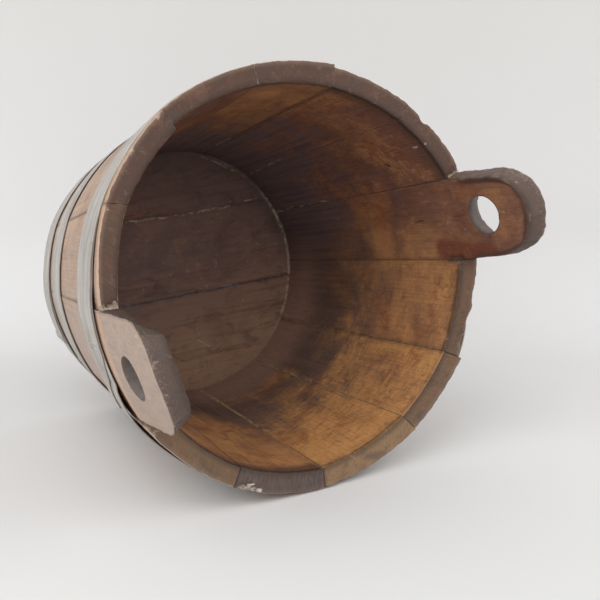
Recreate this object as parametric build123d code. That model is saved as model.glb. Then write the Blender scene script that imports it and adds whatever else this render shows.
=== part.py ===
"""A coopered churn tub, standing upright: tapered staves, two of them rising as
bored ears, a boarded head held in a croze, and three riveted iron hoops.

Millimetres and degrees. +Z runs up the tub's axis, the origin is the centre of
the base, and the ears stand on the X axis. Azimuths are measured from +X
towards +Y.
"""
import math
import os

from build123d import *

# ---- Driving dimensions ------------------------------------------------------

# The shell of staves
RIM_RADIUS = 150.0          # outside of the staves at the rim
BASE_RADIUS = 112.5         # outside of the staves at the base
TUB_HEIGHT = 255.0          # base to rim, without the ears
STAVE_THICKNESS = 14.5
RIM_EASE = 1.5              # worn bevel along both edges of the rim
CHIME_BEVEL = 4.0           # bevel inside the foot of the staves

# Stave widths as shares of the round, anticlockwise from the right ear's stave
FIRST_STAVE_START = -15.3   # azimuth where the right ear's stave begins
STAVE_SHARES = {
    "ear_stave_right": 26.3,
    "stave_rear_1": 25.0,
    "stave_rear_2": 24.5,
    "stave_rear_3": 23.5,
    "stave_rear_4": 26.0,
    "stave_rear_5": 29.0,
    "stave_rear_6": 27.4,
    "ear_stave_left": 29.6,
    "stave_front_1": 31.5,
    "stave_front_2": 29.0,
    "stave_front_3": 33.5,
    "stave_front_4": 25.0,
    "stave_front_5": 29.7,
}

# The ears: lugs that carry on two of the staves above the rim
RIGHT_LUG_WIDTH = 66.5
RIGHT_LUG_HEIGHT = 82.0
RIGHT_LUG_CORNER = 30.0     # radius of both top corners
LEFT_LUG_WIDTH = 75.0
LEFT_LUG_HEIGHT = 84.0
LEFT_LUG_CORNER = 32.0
LUG_FLARE = 2.0             # outward lean of the lugs, degrees
EAR_HOLE_RADIUS = 15.5
EAR_HOLE_RISE = 36.0        # centre of the holes above the rim
EAR_HOLE_SIDE = -2.7        # the holes' common line lies a little to the front

# The head (the tub's bottom) and the croze that holds it
CHIME_DEPTH = 25.0          # base of the tub to the head's underside
HEAD_THICKNESS = 18.0
TONGUE_THICKNESS = 9.0      # edge of the head, cut down to enter the croze
TONGUE_RISE = 5.0           # head's underside to the underside of the tongue
CROZE_DEPTH = 5.5
CROZE_PLAY = 0.2            # clearance above and below the tongue
HEAD_FIT = 0.3              # clearance between the head's edge and the staves
HEAD_GRAIN_AZIMUTH = -11.3  # direction of the boards and their seams
REAR_SEAM = 51.0            # seams, measured from the axis across the boards
FRONT_SEAM = -19.5

# Dowels that align the head's boards
DOWEL_RADIUS = 4.0
DOWEL_LENGTH = 40.0
DOWEL_SPACING = 90.0          # between the two dowels of one seam
DOWEL_FIT = 0.1
DOWEL_END_PLAY = 1.0

# Hoops of flat iron
HOOP_THICKNESS = 1.3
HOOP_FIT = 0.15             # between the staves and a hoop
HOOP_LAP = 48.0             # length of the riveted overlap
TOP_HOOP_DROP = 9.5         # rim to the top hoop's upper edge
TOP_HOOP_WIDTH = 51.0
TOP_HOOP_LAP_AZIMUTH = 176.0
MIDDLE_HOOP_RISE = 60.0     # base to the middle hoop's lower edge
MIDDLE_HOOP_WIDTH = 41.5
MIDDLE_HOOP_LAP_AZIMUTH = 40.0
BOTTOM_HOOP_RISE = 5.2
BOTTOM_HOOP_WIDTH = 36.0
BOTTOM_HOOP_LAP_AZIMUTH = 186.0

# Hoop rivets, two in each overlap
RIVET_RADIUS = 2.5
RIVET_HEAD_RADIUS = 4.8
RIVET_HEAD_RISE = 2.0
RIVET_SPACING = 18.0
RIVET_FIT = 0.1

# ---- Derived values ----------------------------------------------------------

TAPER = (RIM_RADIUS - BASE_RADIUS) / TUB_HEIGHT
HEAD_TOP = CHIME_DEPTH + HEAD_THICKNESS
TONGUE_BOTTOM = CHIME_DEPTH + TONGUE_RISE
TONGUE_TOP = TONGUE_BOTTOM + TONGUE_THICKNESS
REACH = 2 * (RIM_RADIUS + RIGHT_LUG_HEIGHT + LEFT_LUG_HEIGHT)   # longer than any piece


def outer_at(height):
    """Outside radius of the shell at a height above the base."""
    return BASE_RADIUS + TAPER * height


def inner_at(height):
    """Inside radius of the shell at a height above the base."""
    return outer_at(height) - STAVE_THICKNESS


def turned(points, start, arc):
    """Solid turned about the tub's axis from (radius, height) points."""
    face = make_face(Plane.XZ * Polyline(*points, close=True))
    return Rot(0, 0, start) * revolve(face, axis=Axis.Z, revolution_arc=arc)


# ---- Staves ------------------------------------------------------------------

def stave_spans():
    """Start azimuth and arc of every stave, keyed by its name."""
    spans = {}
    start = FIRST_STAVE_START
    total = sum(STAVE_SHARES.values())
    for name, share in STAVE_SHARES.items():
        arc = 360.0 * share / total
        spans[name] = (start, arc)
        start += arc
    return spans


def foot_points():
    """Bevelled foot of a stave, from the inside to the outside."""
    return [
        (inner_at(CHIME_BEVEL), CHIME_BEVEL),
        (inner_at(0) + CHIME_BEVEL, 0),
        (outer_at(0), 0),
    ]


def croze_points():
    """Groove in the inner face that holds the head, from its top down."""
    top = TONGUE_TOP + CROZE_PLAY
    bottom = TONGUE_BOTTOM - CROZE_PLAY
    return [
        (inner_at(top), top),
        (inner_at(top) + CROZE_DEPTH, top),
        (inner_at(bottom) + CROZE_DEPTH, bottom),
        (inner_at(bottom), bottom),
    ]


def plain_stave(start, arc):
    """Stave that ends at the rim, with both rim edges eased."""
    eased = TUB_HEIGHT - RIM_EASE
    rim = [
        (outer_at(eased), eased),
        (RIM_RADIUS - RIM_EASE, TUB_HEIGHT),
        (inner_at(TUB_HEIGHT) + RIM_EASE, TUB_HEIGHT),
        (inner_at(eased), eased),
    ]
    return turned(foot_points() + rim + croze_points(), start, arc)


def lug_blank(side, centre, width, height, corner):
    """Prism with a lug's front outline, standing on the rim on one side."""
    outline = Pos(centre, TUB_HEIGHT + height / 2) * Rectangle(width, height)
    outline = fillet(outline.vertices().group_by(Axis.Y)[-1], corner)
    prism = extrude(Plane.YZ * outline, amount=side * REACH)
    return prism


def ear_stave(start, arc, side, width, height, corner):
    """Stave that carries on above the rim as a bored lug."""
    spread = height * math.tan(math.radians(LUG_FLARE))
    top = TUB_HEIGHT + height
    lug = [
        (RIM_RADIUS, TUB_HEIGHT),
        (RIM_RADIUS + spread, top),
        (RIM_RADIUS + spread - STAVE_THICKNESS, top),
        (inner_at(TUB_HEIGHT), TUB_HEIGHT),
    ]
    blank = turned(foot_points() + lug + croze_points(), start, arc)
    middle = math.radians(start + arc / 2)
    centre = RIM_RADIUS * math.sin(middle)
    below_rim = Pos(0, 0, TUB_HEIGHT / 2) * Box(REACH, REACH, TUB_HEIGHT)
    keep = below_rim + lug_blank(side, centre, width, height, corner)
    hole = Pos(0, EAR_HOLE_SIDE, TUB_HEIGHT + EAR_HOLE_RISE) * Rot(0, 90, 0) * Cylinder(
        EAR_HOLE_RADIUS, REACH)
    return (blank & keep) - hole


def make_staves():
    """All the staves, keyed by name."""
    staves = {}
    for name, (start, arc) in stave_spans().items():
        if name == "ear_stave_right":
            staves[name] = ear_stave(
                start, arc, 1, RIGHT_LUG_WIDTH, RIGHT_LUG_HEIGHT, RIGHT_LUG_CORNER)
        elif name == "ear_stave_left":
            staves[name] = ear_stave(
                start, arc, -1, LEFT_LUG_WIDTH, LEFT_LUG_HEIGHT, LEFT_LUG_CORNER)
        else:
            staves[name] = plain_stave(start, arc)
    return staves


# ---- Head --------------------------------------------------------------------

def head_disc():
    """The whole head before it is split into boards."""
    profile = [
        (0, CHIME_DEPTH),
        (inner_at(CHIME_DEPTH) - HEAD_FIT, CHIME_DEPTH),
        (inner_at(TONGUE_BOTTOM) - HEAD_FIT, TONGUE_BOTTOM),
        (inner_at(TONGUE_BOTTOM) + CROZE_DEPTH - HEAD_FIT, TONGUE_BOTTOM),
        (inner_at(TONGUE_TOP) + CROZE_DEPTH - HEAD_FIT, TONGUE_TOP),
        (inner_at(TONGUE_TOP) - HEAD_FIT, TONGUE_TOP),
        (inner_at(HEAD_TOP) - HEAD_FIT, HEAD_TOP),
        (0, HEAD_TOP),
    ]
    return turned(profile, 0, 360)


def dowel_rods(radius, length):
    """Rods across both seams where the dowels sit, with the given radius and length."""
    rods = []
    for seam in (REAR_SEAM, FRONT_SEAM):
        for along in (-DOWEL_SPACING / 2, DOWEL_SPACING / 2):
            place = Rot(0, 0, HEAD_GRAIN_AZIMUTH) * Pos(along, seam, CHIME_DEPTH + HEAD_THICKNESS / 2)
            rods.append(place * Rot(90, 0, 0) * Cylinder(radius, length))
    return rods


def make_head():
    """The head's boards and their dowels, keyed by name."""
    disc = head_disc()
    for bore in dowel_rods(DOWEL_RADIUS + DOWEL_FIT, DOWEL_LENGTH + 2 * DOWEL_END_PLAY):
        disc = disc - bore
    edges = [-REACH / 2, FRONT_SEAM, REAR_SEAM, REACH / 2]
    names = ["head_board_front", "head_board_middle", "head_board_rear"]
    pieces = {}
    for name, low, high in zip(names, edges[:-1], edges[1:]):
        strip = Pos(0, (low + high) / 2, TUB_HEIGHT / 2) * Box(REACH, high - low, TUB_HEIGHT)
        pieces[name] = disc & (Rot(0, 0, HEAD_GRAIN_AZIMUTH) * strip)
    pieces["head_dowels"] = Compound(children=dowel_rods(DOWEL_RADIUS, DOWEL_LENGTH))
    return pieces


# ---- Hoops -------------------------------------------------------------------

def band_points(bottom, width, inside, outside):
    """Section of a band that lies along the taper, between two offsets from the staves."""
    top = bottom + width
    return [
        (outer_at(bottom) + inside, bottom),
        (outer_at(bottom) + outside, bottom),
        (outer_at(top) + outside, top),
        (outer_at(top) + inside, top),
    ]


def rivet_places(bottom, width, lap_azimuth):
    """Seat of each rivet: on the staves' face, with local Z pointing outward."""
    lean = math.degrees(math.atan(TAPER))
    places = []
    for step in (-RIVET_SPACING / 2, RIVET_SPACING / 2):
        height = bottom + width / 2 + step
        places.append(Rot(0, 0, lap_azimuth) * Pos(outer_at(height), 0, height) * Rot(0, 90 + lean, 0))
    return places


def make_rivet():
    """One rivet standing on the staves' face: shank through both layers, domed head."""
    inner = HOOP_FIT
    seat = HOOP_FIT + 2 * HOOP_THICKNESS
    shank = Pos(0, 0, (inner + seat) / 2) * Cylinder(RIVET_RADIUS, seat - inner)
    ball = (RIVET_HEAD_RADIUS ** 2 + RIVET_HEAD_RISE ** 2) / (2 * RIVET_HEAD_RISE)
    dome = Pos(0, 0, seat + RIVET_HEAD_RISE - ball) * Sphere(ball)
    above = Pos(0, 0, seat + RIVET_HEAD_RISE) * Box(4 * ball, 4 * ball, 2 * RIVET_HEAD_RISE)
    return shank + (dome & above)


def make_hoop(bottom, width, lap_azimuth):
    """A riveted hoop and its rivets."""
    inside = HOOP_FIT
    outside = HOOP_FIT + HOOP_THICKNESS
    band = turned(band_points(bottom, width, inside, outside), 0, 360)
    lap_arc = math.degrees(HOOP_LAP / outer_at(bottom + width / 2))
    overlap = band_points(bottom, width, (inside + outside) / 2, outside + HOOP_THICKNESS)
    band = band + turned(overlap, lap_azimuth - lap_arc / 2, lap_arc)
    rivets = []
    for place in rivet_places(bottom, width, lap_azimuth):
        band = band - place * Cylinder(RIVET_RADIUS + RIVET_FIT, 8 * HOOP_THICKNESS)
        rivets.append(place * make_rivet())
    return band, Compound(children=rivets)


def make_hoops():
    """The three hoops and their rivets, keyed by name."""
    top_hoop_bottom = TUB_HEIGHT - TOP_HOOP_DROP - TOP_HOOP_WIDTH
    layout = {
        "top": (top_hoop_bottom, TOP_HOOP_WIDTH, TOP_HOOP_LAP_AZIMUTH),
        "middle": (MIDDLE_HOOP_RISE, MIDDLE_HOOP_WIDTH, MIDDLE_HOOP_LAP_AZIMUTH),
        "bottom": (BOTTOM_HOOP_RISE, BOTTOM_HOOP_WIDTH, BOTTOM_HOOP_LAP_AZIMUTH),
    }
    pieces = {}
    for name, place in layout.items():
        hoop, rivets = make_hoop(*place)
        pieces["hoop_" + name] = hoop
        pieces["hoop_" + name + "_rivets"] = rivets
    return pieces


# ---- Export ------------------------------------------------------------------

os.makedirs("parts", exist_ok=True)
for piece_name, piece in {**make_staves(), **make_head(), **make_hoops()}.items():
    export_step(piece, os.path.join("parts", piece_name + ".step"))
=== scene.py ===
"""The looks of a coopered churn tub that lies on its side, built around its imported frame.

Sizes are millimetres in the row frame until a mesh is finished, and angles are
degrees. +Z runs up the tub's axis, and azimuths are measured from +X towards +Y.
A board has coordinates of its own: side, across its width; depth, inward from
its outer face; and height, along its grain.
"""
import math
from dataclasses import dataclass
from types import SimpleNamespace

import bmesh
import bpy
from mathutils import Matrix, Vector, noise


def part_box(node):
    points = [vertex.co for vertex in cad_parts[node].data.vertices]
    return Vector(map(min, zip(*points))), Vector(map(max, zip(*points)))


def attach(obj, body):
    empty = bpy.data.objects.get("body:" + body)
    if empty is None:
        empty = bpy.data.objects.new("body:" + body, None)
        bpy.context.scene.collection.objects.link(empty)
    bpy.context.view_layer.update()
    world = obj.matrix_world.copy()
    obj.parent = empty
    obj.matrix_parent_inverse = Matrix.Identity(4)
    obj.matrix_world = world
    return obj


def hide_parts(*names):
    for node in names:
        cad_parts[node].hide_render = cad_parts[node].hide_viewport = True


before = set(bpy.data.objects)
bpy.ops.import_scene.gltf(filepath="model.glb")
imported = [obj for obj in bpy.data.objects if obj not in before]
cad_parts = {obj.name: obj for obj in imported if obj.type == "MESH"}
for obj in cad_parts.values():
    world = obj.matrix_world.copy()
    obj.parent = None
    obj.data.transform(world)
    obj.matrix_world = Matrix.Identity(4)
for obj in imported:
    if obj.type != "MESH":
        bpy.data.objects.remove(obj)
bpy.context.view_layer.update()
noise.seed_set(1)           # the dents of the rivets are drawn at random

MM = 0.001
IRON_STANDS = 1.45          # outer face of a hoop above the staves
HOOP_THICKNESS = 0.95
STAVE_THICKNESS = 14.5
LUG_FLARE = 2.0             # outward lean of the ears' lugs
FLATNESS = 0.16             # 0 for round staves, 1 for flat facets
STRAY_START = 0.55          # share of the height below which staves keep to the even shell
ON_FACE = 0.01              # how near to a face a point counts as on it
SHARP_ANGLE = 35            # edges steeper than this are shaded sharp
EDGE_FADE = {"stave": 2.2, "head": 1.8, "hoop": 1.6}    # distance in which wear at an edge fades
WAVE_REACH, WAVE_LENGTH = 0.25, 38.0                    # slow waves over a stave
NICK_REACH, NICK_LENGTH = 0.7, 5.0                      # small nicks at its edges


# ---- Sizes read from the frame -------------------------------------------------

def box_mm(node):
    """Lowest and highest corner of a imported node."""
    low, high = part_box(node)
    return low / MM, high / MM


def band_of(node):
    """Bottom, top and top outside radius of a packed hoop, clear of its lap."""
    low, high = box_mm(node)
    return low.z, high.z, (high.y - low.y) / 2


def packed_span(node):
    """Middle azimuth and half the arc of a packed stave, in radians."""
    corners = [Vector((v.co.x, v.co.y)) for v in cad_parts[node].data.vertices]
    middle = sum(corners, Vector((0, 0)))
    turns = [-middle.angle_signed(c) for c in corners]
    start, end = min(turns), max(turns)
    return math.atan2(middle.y, middle.x) + (start + end) / 2, (end - start) / 2


BANDS = {name: band_of("hoop_" + name) for name in ("top", "middle", "bottom")}
TAPER = (BANDS["top"][2] - BANDS["bottom"][2]) / (BANDS["top"][1] - BANDS["bottom"][1])
BASE_RADIUS = BANDS["bottom"][2] - IRON_STANDS - TAPER * BANDS["bottom"][1]
TUB_HEIGHT = box_mm("stave_front_2")[1].z
HEAD_BOTTOM, HEAD_TOP = [corner.z for corner in box_mm("head_board_middle")]


def outer_at(height):
    """Outside radius of the shell of staves."""
    return BASE_RADIUS + TAPER * min(height, TUB_HEIGHT)


RIM_RADIUS = outer_at(TUB_HEIGHT)


def around_axis(azimuth, radius, height):
    """Point at an azimuth in radians."""
    return Vector((radius * math.cos(azimuth), radius * math.sin(azimuth), height))


def smooth_step(low, high, value):
    """0 up to low, 1 from high, with a soft rise between."""
    share = min(max((value - low) / (high - low), 0.0), 1.0)
    return share * share * (3 - 2 * share)


def rim_share(height):
    """How much of a stave's stray at the rim it has at a height."""
    return smooth_step(STRAY_START, 1.0, height / TUB_HEIGHT)


def mix(a, b, share):
    """Value between a and b."""
    return a + (b - a) * share


# ---- Meshes --------------------------------------------------------------------

def stations(low, high, fine, coarse, growth=1.45):
    """Cut positions from low to high, closer together near both ends."""
    steps = []
    step = fine
    while step < coarse and 2 * (sum(steps) + step) < high - low:
        steps.append(step)
        step *= growth
    middle = high - low - 2 * sum(steps)
    count = max(1, math.ceil(middle / coarse))
    places = [low]
    for step in steps + [middle / count] * count + steps[::-1]:
        places.append(places[-1] + step)
    places[-1] = high
    return places


def cut_block(sides, depths, heights):
    """Closed block whose faces are cut at the given places along its three axes."""
    bm = bmesh.new()
    bmesh.ops.create_cube(bm, size=1.0, matrix=Matrix.Translation((0.5, 0.5, 0.5)))
    lists = (sides, depths, heights)
    for axis, places in enumerate(lists):
        along = [e for e in bm.edges if abs(e.verts[0].co[axis] - e.verts[1].co[axis]) > 0.5]
        bmesh.ops.subdivide_edges(bm, edges=along, cuts=len(places) - 2)
    for v in bm.verts:
        v.co = [places[round(c * (len(places) - 1))] for c, places in zip(v.co, lists)]
    return bm


def ease_edges(point, low, high, radii):
    """Point of a block's surface, moved to round the block's edges by a radius along each axis."""
    core = Vector([min(max(c, a + r), b - r) for c, a, b, r in zip(point, low, high, radii)])
    away = Vector([(c - k) / r for c, k, r in zip(point, core, radii)])
    if away.length < 1e-6:
        return point
    away.normalize()
    return core + Vector([a * r for a, r in zip(away, radii)])


def edge_distance(point, low, high):
    """Distance along a block's face to its nearest edge."""
    return sorted(min(c - a, b - c) for c, a, b in zip(point, low, high))[1]


def edge_wear(kind, distance):
    """How worn a piece is at a distance from its nearest edge."""
    return math.exp(-distance / EDGE_FADE[kind])


def mark_vertices(bm, values_at):
    """Gives each vertex the named values of its place, and returns the layers that hold them."""
    bm.verts.ensure_lookup_table()
    layers = {}
    for name, value in values_at(bm.verts[0].co).items():
        kind = bm.verts.layers.float_vector if isinstance(value, Vector) else bm.verts.layers.float
        layers[name] = kind.new(name)
    for v in bm.verts:
        for name, value in values_at(v.co).items():
            v[layers[name]] = value
    return layers


def add_object(name, data):
    """New object in the scene."""
    made = bpy.data.objects.new(name, data)
    bpy.context.scene.collection.objects.link(made)
    return made


def add_mesh(bm, name, material):
    """Smooth object from a mesh in metres."""
    mesh = bpy.data.meshes.new(name)
    bm.to_mesh(mesh)
    bm.free()
    mesh.shade_smooth()
    mesh.materials.append(material)
    return add_object(name, mesh)


def finish_mesh(bm, name, node, material):
    """Makes a piece from a mesh in millimetres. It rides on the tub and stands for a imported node."""
    bmesh.ops.recalc_face_normals(bm, faces=bm.faces)
    if bm.calc_volume(signed=True) < 0:
        bmesh.ops.reverse_faces(bm, faces=bm.faces)
    bmesh.ops.scale(bm, vec=(MM, MM, MM), verts=bm.verts)
    piece = add_mesh(bm, name, material)
    piece.data.set_sharp_from_angle(angle=math.radians(SHARP_ANGLE))
    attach(piece, "root")
    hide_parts(node)


def roughen(bm, edge, loose):
    """Moves the loose vertices along their normals: slow waves everywhere, small nicks at the edges."""
    bm.normal_update()
    moves = []
    for v in bm.verts:
        wave = noise.noise(v.co / WAVE_LENGTH) * WAVE_REACH
        nick = noise.fractal(v.co / NICK_LENGTH, 1.0, 2.0, 3) * NICK_REACH * (0.12 + v[edge])
        moves.append(v.normal * (wave + nick) * v[loose])
    for v, move in zip(bm.verts, moves):
        v.co += move


# ---- Staves --------------------------------------------------------------------

JOINT_EASE = (0.05, 0.3)    # worn rounding of the joints' edges: tight, open
RIM_EASE = 1.5              # worn rounding of the rim
CHIME_HEIGHT = 4.0
CROZE_BOTTOM, CROZE_TOP, CROZE_DEPTH = 29.8, 39.2, 5.5
CROZE_EDGE = 0.2            # height in which the croze's walls rise
FINE_BAND = 38.0            # height below the rim in which a stave is cut finely
RIM_WARP = 5.9              # the rim is out of level: high at one azimuth and its opposite
RIM_WARP_AZIMUTH = 20.3
WARP_START = 60.0           # height below which the warp isn't felt
LIP_DEPTH = 26.0            # height of the dark band below the rim: partly stain, partly painted shade
EAR_HOLE_RISE = 35.5
EAR_HOLE_OFFSET = -2.7      # both holes lie on one line, a little to the front
HOLE_PATCH = 24.0           # half the side of the square of faces that holds an ear's hole
HOLE_RIM = 8.0              # width of the ring round an ear's hole that keeps its edge clean
PATTERN_SHIFT = 700         # how far along the grain one step of tone moves a board's pattern


@dataclass
class Lug:
    """A lug's outline above the rim, at its stave's two joints."""
    heights: tuple
    corners: tuple              # radii of its top corners
    leans: tuple                # how far its sides lean in at the top
    flares: tuple               # rounding of its hole's edge, outside and inside
    bevels: tuple = (0.0, 0.0)  # how far its sides are worn back towards the inner face
    slant: float = 0.0          # how far the hole's outer end is bored below its inner end
    slope: float = 0.0          # how much higher its top is outside than inside
    hole_radius: float = 15.5
    hole_shift: float = 0.0     # along the stave's width


@dataclass
class Stave:
    """A stave and how it strays from the even shell."""
    name: str
    proud: tuple = (0.0, 0.0)   # outer face above the even shell at its two joints, at the rim
    thick: tuple = (0.0, 0.0)   # extra thickness at its two joints, at the rim
    pith: tuple = (90.0, 20.0)  # heart of the tree from the board's middle: side, depth
    tone: float = 0.5           # of the inside: 0 dark and grey, 1 golden
    ends: float = 0.2           # of the end grain: 0 dark brown, 1 pale
    skew: tuple = (0.0, 0.0)    # its first joint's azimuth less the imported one, outside and inside
    worn: float = 1.5           # rounding of the rim's outer edge
    crumbs: tuple = (0.2, 0.2)  # pale dirt in its two joints
    lines: tuple = (0.1, 0.1)   # how dark its two joints are inside
    lip_stain_and_shade: float = 0.3            # dark band just below the rim, inside: partly stain, partly painted shade under the rim's edge
    figure: float = 0.3         # strength of curly figure
    open: tuple = (0.0, 0.0)    # how open its two joints are
    lug: Lug = None

    def fit(self, following):
        """Works out the stave's place in the tub and its uncut block, from low to high."""
        self.middle, self.half_arc = packed_span(self.name)
        self.half_width = RIM_RADIUS * self.half_arc
        self.end_skew = following.skew
        self.top = TUB_HEIGHT + (max(self.lug.heights) if self.lug else 0.0)
        self.low = Vector((-self.half_width, 0, 0))
        self.high = Vector((self.half_width, STAVE_THICKNESS, self.top))

    def hole(self, depth):
        """Centre of an ear's hole at a depth, with the slant it was bored at."""
        azimuth = math.asin(EAR_HOLE_OFFSET / RIM_RADIUS)
        if math.cos(self.middle) < 0:
            azimuth = math.pi - azimuth
        offset = math.remainder(azimuth - self.middle, math.tau) * RIM_RADIUS
        drop = self.lug.slant * (1 - depth / STAVE_THICKNESS)
        return Vector((offset + self.lug.hole_shift, depth, TUB_HEIGHT + EAR_HOLE_RISE - drop))


STAVES = [
    Stave("ear_stave_right", pith=(-70, 60), tone=0.30, ends=0.22, crumbs=(0.1, 0.15), lines=(0.3, 0.25),
          lip_stain_and_shade=0.0, figure=0.35, open=(1.0, 0.0),
          lug=Lug((80.5, 82.5), (41.0, 32.0), (6.5, -1.0), (5.0, 1.3), slant=4.5, slope=3.0)),
    Stave("stave_rear_1", proud=(2.0, 0.0), thick=(-1.0, 0.0), pith=(120, 70), tone=0.31, ends=0.15,
          lines=(0.25, 0.1), lip_stain_and_shade=0.9, figure=1.0),
    Stave("stave_rear_2", proud=(0.3, -0.6), pith=(-60, 90), tone=0.34, ends=0.1, lines=(0.1, 0.7),
          lip_stain_and_shade=0.9, figure=0.8),
    Stave("stave_rear_3", proud=(1.4, 0.0), thick=(2.0, 0.0), pith=(140, 30), tone=0.48, ends=0.0,
          crumbs=(0.2, 0.1), lines=(0.7, 0.2), lip_stain_and_shade=0.5),
    Stave("stave_rear_4", proud=(0.0, 1.5), thick=(0.0, -1.8), pith=(-110, -40), tone=0.35, ends=0.0,
          skew=(-0.5, 0.5), lines=(0.2, 0.3), lip_stain_and_shade=0.4),
    Stave("stave_rear_5", proud=(1.5, 0.8), thick=(2.0, 0.0), pith=(80, -70), tone=0.35, ends=-0.2,
          skew=(1.9, 2.7), worn=2.9, lines=(0.3, 0.3), lip_stain_and_shade=0.4),
    Stave("stave_rear_6", proud=(0.8, -1.2), thick=(0.0, -1.6), pith=(-95, 50), tone=0.4, ends=0.12,
          skew=(1.2, -0.6), worn=2.9, lines=(0.3, 0.4), open=(0.0, 1.0)),
    Stave("ear_stave_left", pith=(60, -80), tone=0.45, ends=0.05, lines=(0.4, 0.4), lip_stain_and_shade=0.0,
          open=(1.0, 1.0),
          lug=Lug((82.5, 84.0), (28.0, 37.0), (0.5, 0.5), (0.4, 1.5), bevels=(11.0, 0.0),
                  hole_radius=14.6, hole_shift=1.6)),
    Stave("stave_front_1", proud=(2.6, 0.2), thick=(1.6, -0.6), pith=(130, 60), ends=0.55,
          skew=(0.6, -0.6), lines=(0.4, 0.2), lip_stain_and_shade=0.8, open=(1.0, 1.0)),
    Stave("stave_front_2", proud=(1.2, 0.4), thick=(1.0, 0.0), pith=(-80, 40), tone=0.6, ends=0.12,
          crumbs=(0.2, 0.9), lines=(0.2, 0.0), lip_stain_and_shade=1.0, open=(1.0, 1.0)),
    Stave("stave_front_3", proud=(-0.3, 1.6), thick=(0.0, 1.8), pith=(75, -90), tone=0.9, ends=0.9,
          crumbs=(0.9, 0.6), lines=(0.0, 0.1), lip_stain_and_shade=0.45, open=(1.0, 0.3)),
    Stave("stave_front_4", proud=(0.7, 3.6), thick=(1.1, 3.8), pith=(-130, -60), tone=0.85, ends=0.4,
          skew=(0.5, -0.5), crumbs=(0.6, 0.25), lines=(0.1, 0.6), lip_stain_and_shade=0.35, figure=0.5, open=(0.3, 0.4)),
    Stave("stave_front_5", proud=(-0.4, 0.4), thick=(0.0, 2.0), pith=(100, 80), tone=0.61, ends=0.3,
          skew=(0.3, -0.3), crumbs=(0.25, 0.1), lines=(0.6, 0.3), lip_stain_and_shade=0.5, figure=0.5, open=(0.4, 1.0)),
]
for stave, following in zip(STAVES, STAVES[1:] + STAVES[:1]):
    stave.fit(following)


def rim_warp(azimuth):
    """How far above the even rim the end grain lies at an azimuth in radians."""
    return RIM_WARP * math.cos(2 * (azimuth - math.radians(RIM_WARP_AZIMUTH)))


def on_tub(stave, side, depth, height):
    """Point of the tub for a board's own coordinates."""
    share = side / stave.half_width
    across = (share + 1) / 2
    turn = share * stave.half_arc
    inner = depth / STAVE_THICKNESS
    skew = mix(mix(*stave.skew, inner), mix(*stave.end_skew, inner), across)
    azimuth = stave.middle + turn + math.radians(skew)
    above = max(0.0, height - TUB_HEIGHT)
    radius = outer_at(height) + above * math.tan(math.radians(LUG_FLARE))
    radius *= mix(1.0, math.cos(stave.half_arc) / math.cos(turn), FLATNESS)
    radius += mix(*stave.proud, across) * rim_share(height)
    radius -= depth + inner * mix(*stave.thick, across) * rim_share(height)
    if not stave.lug:
        height += rim_warp(azimuth) * smooth_step(WARP_START, TUB_HEIGHT, height)
    return around_axis(azimuth, radius, height)


def shape_lug(side, depth, height, half_width, lug):
    """Moves a point of a square-topped lug onto the lug's outline."""
    end = side > 0
    radius, top = lug.corners[end], max(lug.heights) + TUB_HEIGHT
    past_side = (abs(side) - (half_width - radius)) / radius
    past_top = (height - (top - radius)) / radius
    if past_side > 0 and past_top > 0:
        past_corner = past_side * math.sqrt(1 - past_top ** 2 / 2)
        side = math.copysign(half_width - radius * (1 - past_corner), side)
        height = top - radius * (1 - past_top * math.sqrt(1 - past_side ** 2 / 2))
    above = max(height - TUB_HEIGHT, 0.0) / (top - TUB_HEIGHT)
    low_side = (top - TUB_HEIGHT - lug.heights[0]) * (0.5 - side / half_width / 2)
    low_end = (top - TUB_HEIGHT - lug.heights[1]) * (0.5 + side / half_width / 2)
    height -= (low_side + low_end) * smooth_step(0.6, 1.0, above)
    height += lug.slope * (0.7 - depth / STAVE_THICKNESS) * smooth_step(0.5, 1.0, above)
    outer_share = max(0.0, abs(side) / half_width - 0.5) * 2
    back = lug.leans[end] * above
    back += lug.bevels[end] * depth / STAVE_THICKNESS * smooth_step(0.1, 0.6, above) * outer_share
    return side - math.copysign(back * outer_share, side), height


@dataclass
class Chip:
    """A broken or bruised spot at the rim or on an ear."""
    azimuth: float
    above: float                # height above the rim
    depth: float                # inward from the outer face
    radius: float
    bite: float
    pale: float = 1.0           # how fresh the broken wood looks


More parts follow.
